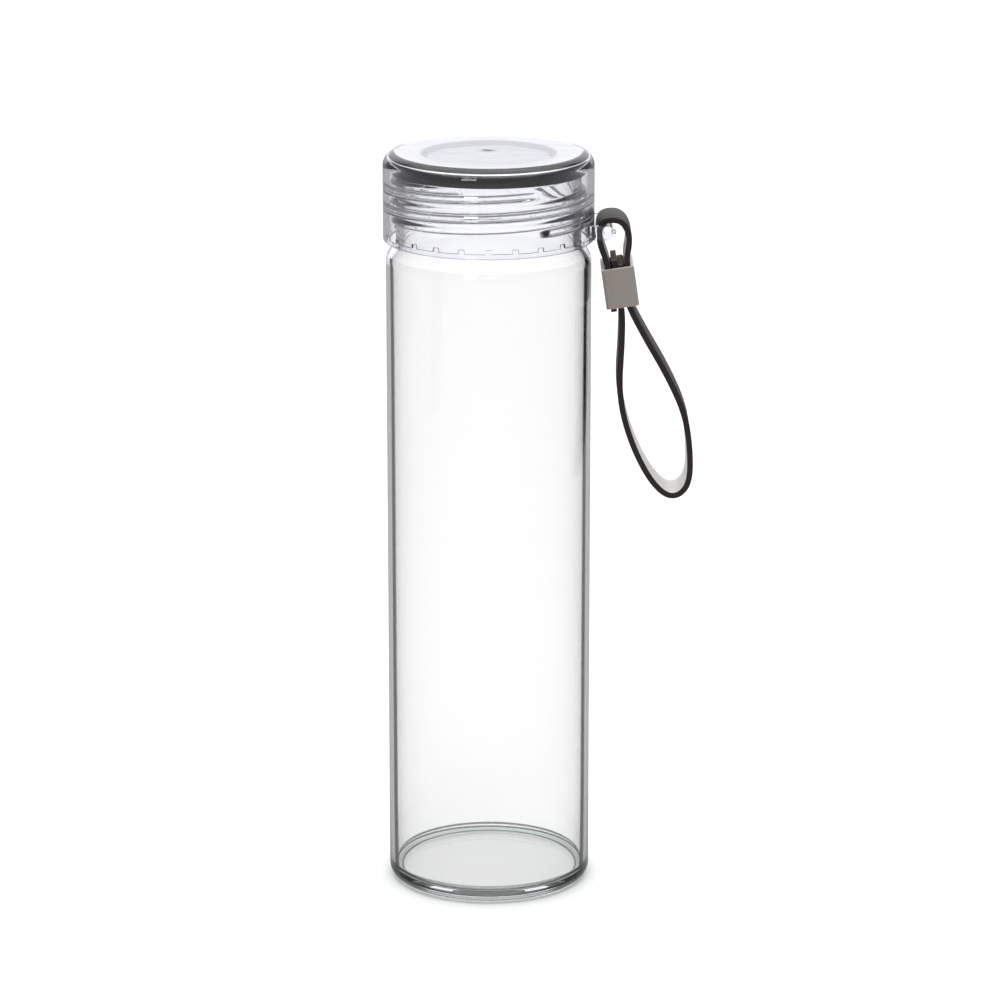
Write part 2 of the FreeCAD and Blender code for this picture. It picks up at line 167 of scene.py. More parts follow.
# ---------------------------------------------------------------- modelling helpers
def deselect():
    if bpy.context.object and bpy.context.object.mode != "OBJECT":
        bpy.ops.object.mode_set(mode="OBJECT")
    bpy.ops.object.select_all(action="DESELECT")


def active(piece):
    deselect()
    piece.select_set(True)
    bpy.context.view_layer.objects.active = piece


def line(start, end, steps=1):
    """Points from start towards end, without start."""
    return [tuple(a + (b - a) * step / steps for a, b in zip(start, end))
            for step in range(1, steps + 1)]


def arc(centre, radius, first, last, steps=8):
    """Points on an arc between two angles in degrees."""
    turns = [math.radians(first + (last - first) * step / steps) for step in range(steps + 1)]
    return [(centre[0] + radius * math.cos(turn), centre[1] + radius * math.sin(turn))
            for turn in turns]


def wave(start, end, steps):
    """Points on a smooth S between two radii and heights, upright at both ends."""
    points = []
    for step in range(1, steps + 1):
        share = step / steps
        ease = share * share * (3 - 2 * share)
        points.append((start[0] + (end[0] - start[0]) * ease, start[1] + (end[1] - start[1]) * share))
    return points


def lathe(name, outline, steps, fine=None, rows=0):
    """A closed shell turned from an outline of radii and heights. The run between the two points
    in fine is divided into rows."""
    deselect()
    bpy.ops.mesh.primitive_plane_add(size=MM, location=(0, 0, 0))
    piece = bpy.context.object
    piece.name = name
    bpy.ops.object.mode_set(mode="EDIT")
    bpy.ops.mesh.select_mode(type="VERT")
    bpy.ops.mesh.merge(type="CENTER")
    here = Vector((outline[0][0], 0, outline[0][1]))
    bpy.ops.transform.translate(value=here)
    for radius, height in outline[1:]:
        there = Vector((radius, 0, height))
        bpy.ops.mesh.extrude_vertices_move(TRANSFORM_OT_translate={"value": there - here})
        here = there
    if fine:
        select_run(piece, fine)
        bpy.ops.mesh.subdivide(number_cuts=rows)
    bpy.ops.mesh.select_all(action="SELECT")
    bpy.ops.mesh.spin(steps=steps, angle=math.tau, center=(0, 0, 0), axis=(0, 0, 1))
    bpy.ops.mesh.select_all(action="SELECT")
    bpy.ops.mesh.remove_doubles(threshold=SAME_PLACE)
    bpy.ops.mesh.normals_make_consistent(inside=False)
    bpy.ops.object.mode_set(mode="OBJECT")
    if len(piece.data.polygons) < steps * (len(outline) - 2):
        raise RuntimeError(f"{name} has only {len(piece.data.polygons)} faces")
    return piece


def select_edges(piece, wanted):
    """Select in edit mode the edges whose two ends pass a test."""
    active(piece)
    bpy.ops.object.mode_set(mode="EDIT")
    bpy.ops.mesh.select_mode(type="EDGE")
    bpy.ops.mesh.select_all(action="DESELECT")
    bpy.ops.object.mode_set(mode="OBJECT")
    for edge in piece.data.edges:
        first, second = (piece.data.vertices[index].co for index in edge.vertices)
        edge.select = wanted(first, second)
    bpy.ops.object.mode_set(mode="EDIT")


def select_run(piece, ends):
    """Select in edit mode the one edge of an outline that joins two of its points."""
    places = [Vector((radius, 0, height)) for radius, height in ends]
    select_edges(piece, lambda first, second: any(
        (first - a).length < SAME_PLACE and (second - b).length < SAME_PLACE
        for a, b in (places, places[::-1])))


def smooth(piece, degrees=40):
    active(piece)
    bpy.ops.object.shade_smooth_by_angle(angle=math.radians(degrees))


def apply_all(piece):
    active(piece)
    for modifier in list(piece.modifiers):
        bpy.ops.object.modifier_apply(modifier=modifier.name)


def apply_place(piece):
    active(piece)
    bpy.ops.object.transform_apply(location=True, rotation=True, scale=True)


def vertices_of(piece):
    places = np.empty(len(piece.data.vertices) * 3)
    piece.data.vertices.foreach_get("co", places)
    return places.reshape(-1, 3)


def set_vertices(piece, places):
    piece.data.vertices.foreach_set("co", places.ravel())
    piece.data.update()


def ridge(places, low, low_angle, turns, foot, crest, fade):
    """How much of a helical ridge, from 0 to 1, stands at each point. Widths are whole widths."""
    angle = np.arctan2(places[:, 1], places[:, 0]) - math.radians(low_angle)
    share = np.zeros(len(places))
    for lap in range(int(turns) + 1):
        along = np.mod(angle, math.tau) + math.tau * lap
        away = np.abs(places[:, 2] - low - PITCH * along / math.tau)
        slope = np.clip((foot / 2 - away) / (foot / 2 - crest / 2), 0, 1)
        ends = np.clip(np.minimum(along, math.tau * turns - along) / math.radians(fade), 0, 1)
        share = np.maximum(share, slope * slope * (3 - 2 * slope) * ends)
    return share


def push_out(places, chosen, amount):
    """Move the chosen points away from the axis by the amount given for each."""
    radius = np.hypot(places[:, 0], places[:, 1])
    factor = np.where(chosen, 1 + amount / np.maximum(radius, MM), 1)
    places[:, 0] *= factor
    places[:, 1] *= factor
    return places


# ---------------------------------------------------------------- finishes
def linear(code):
    """An sRGB hex colour as linear values."""
    channels = [int(code[index:index + 2], 16) / 255 for index in (1, 3, 5)]
    return [c / 12.92 if c <= 0.04045 else ((c + 0.055) / 1.055) ** 2.4 for c in channels] + [1.0]


def add_node(tree, kind, links=(), **settings):
    """One node: settings on its own properties or inputs, and links into its inputs."""
    node = tree.nodes.new(kind)
    for key, value in settings.items():
        if hasattr(node, key):
            setattr(node, key, value)
        else:
            node.inputs[key.replace("_", " ")].default_value = value
    for socket, source in links:
        tree.links.new(source, node.inputs[socket])
    return node


def new_material(name, **shader):
    """A material and its Principled shader, with uniform values on the shader's own sockets."""
    material = bpy.data.materials.new(name)
    material.use_nodes = True
    tree = material.node_tree
    principled = tree.nodes["Principled BSDF"]
    for key, value in shader.items():
        principled.inputs[key.replace("_", " ")].default_value = value
    return material, tree, principled


def bump(tree, principled, height, distance, strength=1.0):
    node = add_node(tree, "ShaderNodeBump", [("Height", height)], Distance=distance, Strength=strength)
    tree.links.new(node.outputs["Normal"], principled.inputs["Normal"])


def tint(tree, code, density):
    """Colour that deepens with the thickness the light passes through."""
    fog = add_node(tree, "ShaderNodeVolumeAbsorption", Color=linear(code), Density=density)
    output = next(node for node in tree.nodes if node.type == "OUTPUT_MATERIAL")
    tree.links.new(fog.outputs["Volume"], output.inputs["Volume"])


def stretched(tree, scale, stretch=(1, 1, 1)):
    """Object coordinates through a Mapping node, and a noise on them."""
    place = add_node(tree, "ShaderNodeTexCoord")
    mapped = add_node(tree, "ShaderNodeMapping", [("Vector", place.outputs["Object"])])
    mapped.inputs["Scale"].default_value = stretch
    return add_node(tree, "ShaderNodeTexNoise", [("Vector", mapped.outputs["Vector"])], Scale=scale)


def let_light_through(tree, shader, share):
    """A share of the light passes to what stands inside and behind, as through real clear walls."""
    ray = add_node(tree, "ShaderNodeLightPath")
    passed = add_node(tree, "ShaderNodeMath", [(0, ray.outputs["Is Shadow Ray"])], operation="MULTIPLY")
    passed.inputs[1].default_value = share
    clear = add_node(tree, "ShaderNodeBsdfTransparent")
    mix = add_node(tree, "ShaderNodeMixShader", [
        (0, passed.outputs[0]), (1, shader.outputs[0]), (2, clear.outputs[0])])
    output = next(node for node in tree.nodes if node.type == "OUTPUT_MATERIAL")
    tree.links.new(mix.outputs[0], output.inputs["Surface"])


def painted_edge_shade(tree, shader, least_radius, stops, cast=(1, 1, 1), least_height=0.0):
    """Painted shade: grey the colour that passes the outer skin where it is seen at a low angle, with a
    cast.
    """
    place = add_node(tree, "ShaderNodeTexCoord")
    flat = add_node(tree, "ShaderNodeVectorMath", [(0, place.outputs["Object"])], operation="MULTIPLY")
    flat.inputs[1].default_value = (1, 1, 0)
    reach = add_node(tree, "ShaderNodeVectorMath", [(0, flat.outputs[0])], operation="LENGTH")
    outer = add_node(tree, "ShaderNodeMath", [(0, reach.outputs["Value"])], operation="GREATER_THAN")
    outer.inputs[1].default_value = least_radius
    height = add_node(tree, "ShaderNodeSeparateXYZ", [("Vector", place.outputs["Object"])])
    above = add_node(tree, "ShaderNodeMath", [(0, height.outputs["Z"])], operation="GREATER_THAN")
    above.inputs[1].default_value = least_height
    skin = add_node(tree, "ShaderNodeMath", [(0, outer.outputs[0]), (1, above.outputs[0])],
                    operation="MULTIPLY")
    low_angle = add_node(tree, "ShaderNodeLayerWeight", Blend=0.5)
    seen = add_node(tree, "ShaderNodeMath", [(0, low_angle.outputs["Facing"]), (1, skin.outputs[0])],
                    operation="MULTIPLY")
    tone = add_node(tree, "ShaderNodeValToRGB", [("Fac", seen.outputs[0])])
    ends = tone.color_ramp.elements
    ends[0].position, ends[0].color = 0.0, (1, 1, 1, 1)
    ends[1].position = 1.0
    for position, level in stops[:-1]:
        ends.new(position)
    for end, (position, level) in zip(list(ends)[1:], stops):
        end.color = [level * share for share in cast] + [1]
    tree.links.new(tone.outputs["Color"], shader.inputs["Base Color"])


def borosilicate_glass(colours):
    """Drawn borosilicate tube: clear and colourless, faintly green where the light goes through the
    floor and the rim edgewise. Its colour is greyed as painted shade, more towards the edges, with a
    painted dark line near the silhouette where the wall turns the light aside, and long shallow draw
    waves bend that line a little."""
    material, tree, shader = new_material("borosilicate glass", Roughness=0.0, IOR=1.473,
                                          Transmission_Weight=1.0)
    # Painted shade: a grey over the outer skin above the heel that deepens towards the edges, and a
    # near-black line where it is seen at a low angle.
    painted_edge_shade(tree, shader, 29.5 * MM,
              [(0.001, 0.88), (0.2, 0.86), (0.45, 0.84), (0.61, 0.8), (0.64, 0.03), (0.705, 0.03),
               (0.73, 0.95), (1.0, 1.0)], least_height=3.4 * MM)
    waves = stretched(tree, 60.0, (1, 1, 0.12))
    bump(tree, shader, waves.outputs["Fac"], 0.02 * MM, 0.5)
    tint(tree, colours.glass, 5.0)
    let_light_through(tree, shader, 0.95)
    return material


def glass_corner(colours, name, level, light_share):
    """The same glass with its colour set to a grey level; below 1 that paints a dark line of shade, as
    round the floor corner and on the heel, where a tight corner turns the light away. The light share
    is what it lets through to the table under it."""
    material, tree, shader = new_material(
        "borosilicate glass " + name, Base_Color=(level, level, level, 1), Roughness=0.0,
        IOR=1.473, Transmission_Weight=1.0)
    waves = stretched(tree, 60.0)
    bump(tree, shader, waves.outputs["Fac"], 0.02 * MM, 0.5)
    tint(tree, colours.glass, 5.0)
    let_light_through(tree, shader, light_share)
    return material


def clear_copolyester(colours):
    """Injection-moulded copolyester: clear, with a cool cast where light goes through its thick corner
    edgewise, and soft flow waves from the gate that break up what shows through it. Its outer skin is
    also drawn bluish grey where it is seen at a low angle, as painted shade."""
    material, tree, shader = new_material("clear copolyester", Roughness=0.01, IOR=1.57,
                                          Transmission_Weight=1.0)
    # Painted shade: the cap's outer skin is drawn bluish grey where it is seen at a low angle.
    painted_edge_shade(tree, shader, 29.6 * MM,
              [(0.001, 0.96), (0.3, 0.9), (0.55, 0.8), (0.72, 0.68), (0.85, 0.66), (1.0, 0.78)],
              (0.965, 0.97, 1.015))
    waves = stretched(tree, 140.0, (1, 1, 0.5))
    bump(tree, shader, waves.outputs["Fac"], 0.05 * MM, 0.5)
    tint(tree, colours.cap, 14.0)
    let_light_through(tree, shader, 0.6)
    return material


def milky_polypropylene(name, code):
    """Natural polypropylene: milky, passes a soft glow and hides what is behind it. Copies in other
    colours paint light and shade on it: a near-white one on the thin flange is painted light, and a
    dark grey one on the dish's walls, seen edgewise, paints grey rings of shade."""
    material, tree, shader = new_material(
        "milky polypropylene " + name, Base_Color=linear(code), Roughness=0.35, IOR=1.49,
        Subsurface_Weight=0.5, Subsurface_Scale=1 * MM)
    grain = stretched(tree, 900.0)
    bump(tree, shader, grain.outputs["Fac"], 0.02 * MM, 0.3)
    return material


def black_silicone(colours):
    """Moulded silicone rubber: deep black, smooth, with a soft shine on its rounded edges."""
    material, tree, shader = new_material(
        "black silicone", Base_Color=linear(colours.seal), Roughness=0.12, IOR=1.41,
        Specular_IOR_Level=0.2)
    grain = stretched(tree, 1500.0)
    bump(tree, shader, grain.outputs["Fac"], 0.01 * MM, 0.2)
    return material


def grey_polymer(code):
    """Satin moulded polymer: warm grey and very finely sparked. A paler copy on its thin rims is
    painted light, standing in for the light coming through them."""
    material, tree, shader = new_material(
        "satin grey polymer", Base_Color=linear(code), Roughness=0.42, IOR=1.5,
        Subsurface_Weight=0.25, Subsurface_Scale=0.8 * MM)
    grain = stretched(tree, 2600.0)
    bump(tree, shader, grain.outputs["Fac"], 0.02 * MM, 0.5)
    return material


def strap_coating(colours):
    """Polyurethane coat on the strap's outer face and edges: near black, pebbled like fine leather,
    with a grey sheen at a low angle."""
    material, tree, shader = new_material(
        "grained polyurethane coat", Base_Color=linear(colours.strap_face), Roughness=0.5, IOR=1.5,
        Specular_IOR_Level=0.3)
    place = add_node(tree, "ShaderNodeTexCoord")
    pebbles = add_node(tree, "ShaderNodeTexVoronoi", [("Vector", place.outputs["Object"])],
                       Scale=1600.0)
    bump(tree, shader, pebbles.outputs["Distance"], 0.06 * MM, 0.6)
    return material


def strap_inner_face(colours):
    """The strap's inner face: drawn pale grey and matt, with a fine banded bump."""
    material, tree, shader = new_material(
        "pale strap inner face", Base_Color=linear(colours.strap_back), Roughness=0.8, IOR=1.45)
    place = add_node(tree, "ShaderNodeTexCoord")
    threads = add_node(tree, "ShaderNodeTexWave", [("Vector", place.outputs["Object"])], Scale=700.0,
                       Distortion=0.6, bands_direction="Y")
    bump(tree, shader, threads.outputs["Fac"], 0.05 * MM, 0.5)
    return material


def strap_cut_end(colours):
    """The strap's cut end: brown-grey fibres between the coats."""
    material, tree, shader = new_material(
        "cut strap fibres", Base_Color=linear(colours.strap_cut), Roughness=0.9, IOR=1.45)
    fibres = stretched(tree, 2200.0, (1, 0.4, 1))
    bump(tree, shader, fibres.outputs["Fac"], 0.2 * MM, 0.8)
    return material


def wear(piece, *materials):
    piece.data.materials.clear()
    for material in materials:
        piece.data.materials.append(material)


# ---------------------------------------------------------------- pieces
class BOTTLE_OT_glass_bottle(bpy.types.Operator):
    """Turn the one-piece glass bottle and raise the thread on its neck"""
    bl_idname = "bottle.glass_bottle"
    bl_label = "Glass Bottle"

    def execute(self, context):
        sizes = context.scene.bottle_sizes
        outer, top = BOTTLE_HIGH.x, BOTTLE_HIGH.z
        inner = outer - sizes.body_wall
        neck = sizes.neck_radius
        mouth = neck - sizes.neck_wall
        heel, corner, rim = sizes.heel_radius, sizes.floor_corner, sizes.rim_radius
        floor = sizes.floor_thick
        wall = sizes.body_wall
        outline = [(0, 0), (0.5 * outer, 0)]
        outline += arc((outer - heel, heel), heel, -90, 0, 12)
        outline += line((outer, heel), (outer, sizes.shoulder_start), 8)
        outline += wave((outer, sizes.shoulder_start), (neck, sizes.neck_start), 14)
        threaded = ((neck, sizes.neck_start), (neck, top - rim))
        outline.append(threaded[1])
        outline += arc((neck - rim, top - rim), rim, 0, 90, 6)[1:]
        outline += arc((mouth + rim, top - rim), rim, 90, 180, 6)
        outline += line((mouth, top - rim), (mouth, sizes.neck_start - wall / 2), 6)
        outline += wave((mouth, sizes.neck_start - wall / 2),
                        (inner, sizes.shoulder_start - wall / 2), 14)
        outline += line((inner, sizes.shoulder_start - wall / 2), (inner, floor + corner), 8)
        outline += arc((inner - corner, floor + corner), corner, 0, -90, 10)[1:]
        outline += [(0.5 * inner, floor), (0, floor)]
        piece = lathe("glass_bottle_body", outline, TURN_STEPS, threaded, THREAD_ROWS)
        places = vertices_of(piece)
        reaches = np.hypot(places[:, 0], places[:, 1])
        outside = (reaches > neck - 0.1 * MM) & (places[:, 2] > sizes.neck_start)
        share = ridge(places, sizes.thread_low, NECK_THREAD_ANGLE, sizes.thread_turns,
                      THREAD_FOOT, 0.7 * MM, 12)
        set_vertices(piece, push_out(places, outside, share * sizes.thread_depth))
        smooth(piece, 60)
        colours = context.scene.finish_colours
        wear(piece, borosilicate_glass(colours),
             glass_corner(colours, "with painted shade at the floor corner", 0.3, 0.8),
             glass_corner(colours, "with a painted shade line on the heel", 0.12, 0.1),
             glass_corner(colours, "in the heel", 1.0, 0.25))
        # Painted shade: faces low and high in the inner floor corner take the copy greyed to 0.3, and a
        # band of the heel's outer skin takes the copy greyed to 0.12; the rest of the heel keeps the
        # full colour.
        for face in piece.data.polygons:
            reach = math.hypot(face.center.x, face.center.y)
            height = face.center.z - floor
            if 0 < height < corner and inner - corner < reach < inner and (
                    height < 0.04 * corner or height > 0.72 * corner):
                face.material_index = 1
            if reach > inner and face.center.z < heel:
                painted_line_low, painted_line_high = (share * heel for share in PAINTED_LINE_ON_HEEL)
                face.material_index = 2 if painted_line_low < face.center.z < painted_line_high else 3
        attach(piece, "bottle")
        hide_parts("glass_bottle")
        return {"FINISHED"}


class BOTTLE_OT_screw_cap(bpy.types.Operator):
    """Turn the clear cap, cut its thread and notches, and join the strap lug to it"""
    bl_idname = "bottle.screw_cap"
    bl_label = "Screw Cap"

    def execute(self, context):
        sizes = context.scene.cap_sizes
        outer, low, top = -CAP_LOW.x, CAP_LOW.z, CAP_HIGH.z
        bore, roof = sizes.bore_radius, top - sizes.roof
        corner, inner_corner, foot = sizes.corner, sizes.inner_corner, sizes.foot_corner
        step, ledge = bore + sizes.step_depth, low + sizes.step_height
        notch_top = ledge + sizes.notch_height
        gate, gate_depth = 0.9 * MM, 0.1 * MM
        outline = [(0, top - gate_depth), (0.3 * gate, top - 0.9 * gate_depth),
                   (0.6 * gate, top - 0.5 * gate_depth), (0.85 * gate, top - 0.1 * gate_depth),
                   (gate, top)]
        outline += line((gate, top), (outer - corner, top), 6)
        outline += arc((outer - corner, top - corner), corner, 90, 0, 16)[1:]
        outline += line((outer, top - corner), (outer, low + foot), 8)
        outline += arc((outer - foot, low + foot), foot, 0, -90, 6)[1:]
        outline += [(step, low), (step, low + 0.2 * MM), (step, ledge - 0.05 * MM),
                    (step - 0.05 * MM, ledge),
                    (bore + 0.05 * MM, ledge), (bore, ledge + 0.05 * MM)]
        threaded = ((bore, notch_top + 0.2 * MM), (bore, roof - inner_corner))
        outline += threaded
        outline += arc((bore - inner_corner, roof - inner_corner), inner_corner, 0, 90, 8)[1:]
        outline += line((bore - inner_corner, roof), (0, roof), 6)
        piece = lathe("screw_cap_shell", outline, TURN_STEPS, threaded, THREAD_ROWS)
        places = vertices_of(piece)
        radius = np.hypot(places[:, 0], places[:, 1])
        inside = (radius < bore + 0.01 * MM) & (radius > bore - 0.01 * MM) & (places[:, 2] > notch_top)
        share = ridge(places, sizes.thread_low, CAP_THREAD_ANGLE, sizes.thread_turns,
                      THREAD_FOOT, 0.9 * MM, 9)
        places = push_out(places, inside, -share * sizes.thread_depth)
        spacing = math.tau / sizes.notches
        turn = np.mod(np.arctan2(places[:, 1], places[:, 0]) + spacing / 2, spacing) - spacing / 2
        on_ledge = (np.abs(places[:, 2] - ledge) < 0.1 * MM) & (radius < step + 0.01 * MM)
        column = math.tau / TURN_STEPS
        side = on_ledge & (np.abs(np.abs(turn) - 2 * column) < 0.1 * column)
        squeeze = np.where(side, -np.sign(turn) * 0.9 * column, 0)
        places[:, 2] += np.where((np.abs(turn) < 1.1 * column) & on_ledge, sizes.notch_height, 0)
        across, along = places[:, 0].copy(), places[:, 1].copy()
        places[:, 0] = across * np.cos(squeeze) - along * np.sin(squeeze)
        places[:, 1] = across * np.sin(squeeze) + along * np.cos(squeeze)
        set_vertices(piece, places)
        self.unite(piece, self.lug(sizes))
        smooth(piece, 75)
        flat = piece.modifiers.new("flat faces", "WEIGHTED_NORMAL")
        flat.keep_sharp = True
        apply_all(piece)
        wear(piece, clear_copolyester(context.scene.finish_colours))
        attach(piece, "cap")
        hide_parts("screw_cap")
        return {"FINISHED"}

    def block(self, low, high):
        """A block between two corners."""
        deselect()
        middle = [(a + b) / 2 for a, b in zip(low, high)]
        bpy.ops.mesh.primitive_cube_add(size=1, location=middle,
                                        scale=[b - a for a, b in zip(low, high)])
        block = bpy.context.object
        apply_place(block)
        return block

    def lug(self, sizes):
        """The strap lug: a bar with round edges on two arms, with a moulding nub."""
        half, low, high = sizes.lug_half, sizes.lug_low, sizes.lug_low + sizes.bar_height
        lug = self.block((sizes.lug_outer - sizes.bar_width, -half, low), (sizes.lug_outer, half, high))
        select_edges(lug, lambda a, b: abs(a.y - b.y) > half)
        bpy.ops.mesh.bevel(offset=sizes.bar_rounding, segments=7, affect="EDGES")
        bpy.ops.object.mode_set(mode="OBJECT")
        bar_middle = sizes.lug_outer - sizes.bar_width / 2
        for near, far in ((-half, LUG_ARM - half), (half - LUG_ARM, half)):
            self.unite(lug, self.block((LUG_ROOT, near, low), (bar_middle, far, high)))
        rounding = lug.modifiers.new("rounding", "BEVEL")
        rounding.width = 0.2 * MM
        rounding.segments = 3
        rounding.limit_method = "ANGLE"
        rounding.angle_limit = math.radians(50)
        apply_all(lug)
        deselect()
        bpy.ops.mesh.primitive_cylinder_add(
            vertices=32, radius=NUB_RADIUS, depth=NUB_LENGTH,
            location=(CAP_HIGH.x - NUB_LENGTH / 2, NUB_Y, NUB_Z), rotation=(0, math.pi / 2, 0))
        nub = bpy.context.object
        apply_place(nub)
        edge = nub.modifiers.new("edge", "BEVEL")
        edge.width = 0.15 * MM
        edge.segments = 3
        apply_all(nub)
        self.unite(lug, nub)
        return lug

    def unite(self, piece, other):
        """Make another solid one with a piece."""
        join = piece.modifiers.new("join", "BOOLEAN")
        join.operation = "UNION"
        join.solver = "EXACT"
        join.object = other
        apply_all(piece)
        bpy.data.objects.remove(other)


class BOTTLE_OT_liner(bpy.types.Operator):
    """Turn the milky liner plate with its dish and plug wall"""
    bl_idname = "bottle.liner"
    bl_label = "Liner Disc"

    def execute(self, context):
        outer, low, top = LINER_HIGH.x, LINER_LOW.z, LINER_HIGH.z
        plate, dish, plug, plug_wall = 0.8 * MM, 1.3 * MM, 24.3 * MM, 1.1 * MM
        dish_floor, dish_rim = 18 * MM, 19.8 * MM
        edge = 0.2 * MM
        outline = [(0, top - dish), (0.4 * dish_floor, top - dish), (0.8 * dish_floor, top - dish)]
        outline += wave((dish_floor - 0.3 * MM, top - dish),
                        (dish_floor + 0.2 * MM, top - dish + 0.2 * MM), 3)
        outline += [(dish_rim - 0.3 * MM, top - 0.2 * MM), (dish_rim, top),
                    (0.5 * (dish_rim + outer), top)]
        outline += arc((outer - edge, top - edge), edge, 90, -0, 4)
        outline += arc((outer - edge, top - plate + edge), edge, 0, -90, 4)
        outline += [(plug + edge, top - plate), (plug, top - plate - edge)]
        outline += arc((plug - edge, low + edge), edge, 0, -90, 4)
        outline += arc((plug - plug_wall + edge, low + edge), edge, -90, -180, 4)
        outline += [(plug - plug_wall, top - plate - edge), (plug - plug_wall - edge, top - plate)]
        outline += [(dish_rim + plate / 2, top - plate), (dish_floor + plate / 2, top - dish - plate),
                    (0.4 * dish_floor, top - dish - plate), (0, top - dish - plate)]
        piece = lathe("liner_plate", outline, 192)
        smooth(piece, 35)
        colours = context.scene.finish_colours
        wear(piece, milky_polypropylene("plate", colours.liner),
             milky_polypropylene("ring", colours.liner_ring_painted_shade),
             milky_polypropylene("flange", colours.liner_flange_painted_light))
        # Painted shade: the dish's sloped walls take the dark grey copy; painted light: every other
        # face beyond the dish floor, flange and plug wall among them, takes the near-white copy.
        for face in piece.data.polygons:
            reach = math.hypot(face.center.x, face.center.y)
            sloped = abs(face.normal.z) < 0.97 and face.center.z > top - dish - 0.1 * MM
            if dish_floor - 0.4 * MM < reach < dish_rim and sloped:
                face.material_index = 1
            elif reach > dish_floor:
                face.material_index = 2
        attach(piece, "seal")
        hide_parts("liner_disc")
        return {"FINISHED"}


class BOTTLE_OT_seal(bpy.types.Operator):
    """Turn the black seal ring with its lip over the glass rim"""
    bl_idname = "bottle.seal"
    bl_label = "Seal Ring"

    def execute(self, context):
        outer, low, top = SEAL_HIGH.x, SEAL_LOW.z, SEAL_HIGH.z
        inner, lip, seat = 24.35 * MM, 27.35 * MM, BOTTLE_HIGH.z + 0.05 * MM
        small = 0.2 * MM
        collar = LINER_HIGH.x + 0.05 * MM
        shelf = LINER_HIGH.z - 0.8 * MM
        crest = (outer - collar) / 2
        outline = arc((inner + small, shelf - small), small, 180, 90, 4)
        outline += [(collar, shelf), (collar, top - crest)]
        outline += arc((collar + crest, top - crest), crest, 180, 0, 8)[1:]
        outline += arc((outer - small, low + small), small, 0, -90, 6)
        outline += arc((lip + small, low + small), small, -90, -180, 6)
        outline += [(lip - 0.1 * MM, seat), (0.5 * (lip + inner), seat)]
        outline += arc((inner + small, seat + small), small, -90, -180, 4)
        outline.append(outline[0])
        piece = lathe("seal_ring_rubber", outline, 256)
        smooth(piece, 50)
        wear(piece, black_silicone(context.scene.finish_colours))
        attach(piece, "seal")
        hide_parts("seal_ring")
        return {"FINISHED"}


class BOTTLE_OT_ferrule(bpy.types.Operator):
    """Make the grey sleeve that grips the strap's layers"""
    bl_idname = "bottle.ferrule"
    bl_label = "Strap Ferrule"

    def execute(self, context):
        sizes = context.scene.strap_sizes
        width, depth, height = sizes.sleeve_width, sizes.sleeve_depth, sizes.sleeve_height
        deselect()
        bpy.ops.mesh.primitive_cube_add(size=1, location=(0, 0, 0), scale=(width, depth, height))
        piece = bpy.context.object
        piece.name = "strap_ferrule_sleeve"
        apply_place(piece)
        select_edges(piece, lambda a, b: abs(a.z - b.z) > height / 2)
        bpy.ops.mesh.bevel(offset=1.0 * MM, segments=6, affect="EDGES")
        self.select_ends(piece)
        bpy.ops.mesh.inset(thickness=sizes.sleeve_wall, use_individual=True)
        inner = (depth - 2 * sizes.sleeve_end) / (depth - 2 * sizes.sleeve_wall)
        bpy.ops.transform.resize(value=(1, inner, 1), center_override=(0, 0, 0))
        bpy.ops.mesh.bridge_edge_loops()
        bpy.ops.object.mode_set(mode="OBJECT")
        rounding = piece.modifiers.new("rims", "BEVEL")
        rounding.width = 0.3 * MM
        rounding.segments = 4
        rounding.limit_method = "ANGLE"
        rounding.angle_limit = math.radians(50)
        apply_all(piece)
        # Painted light: the faces at the sleeve's top and bottom rims are marked for the paler copy of
        # the grey.
        rims = {face.index for face in piece.data.polygons
                if abs(face.center.z) > height / 2 - 0.35 * MM}
        piece.rotation_euler = (0, sizes.sleeve_tilt, 0)
        piece.location = sizes.sleeve_centre
        apply_place(piece)
        smooth(piece, 35)
        colours = context.scene.finish_colours
        wear(piece, grey_polymer(colours.ferrule), grey_polymer(colours.ferrule_rim_painted_light))
        for face in piece.data.polygons:
            if face.index in rims:
                face.material_index = 1
        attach(piece, "strap")
        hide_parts("strap_ferrule")
        return {"FINISHED"}

    def select_ends(self, piece):
        """Select the sleeve's top and bottom faces."""
        bpy.ops.mesh.select_mode(type="FACE")
        bpy.ops.mesh.select_all(action="DESELECT")
        bpy.ops.object.mode_set(mode="OBJECT")
        for face in piece.data.polygons:
            face.select = abs(face.normal.z) > 0.9
        bpy.ops.object.mode_set(mode="EDIT")


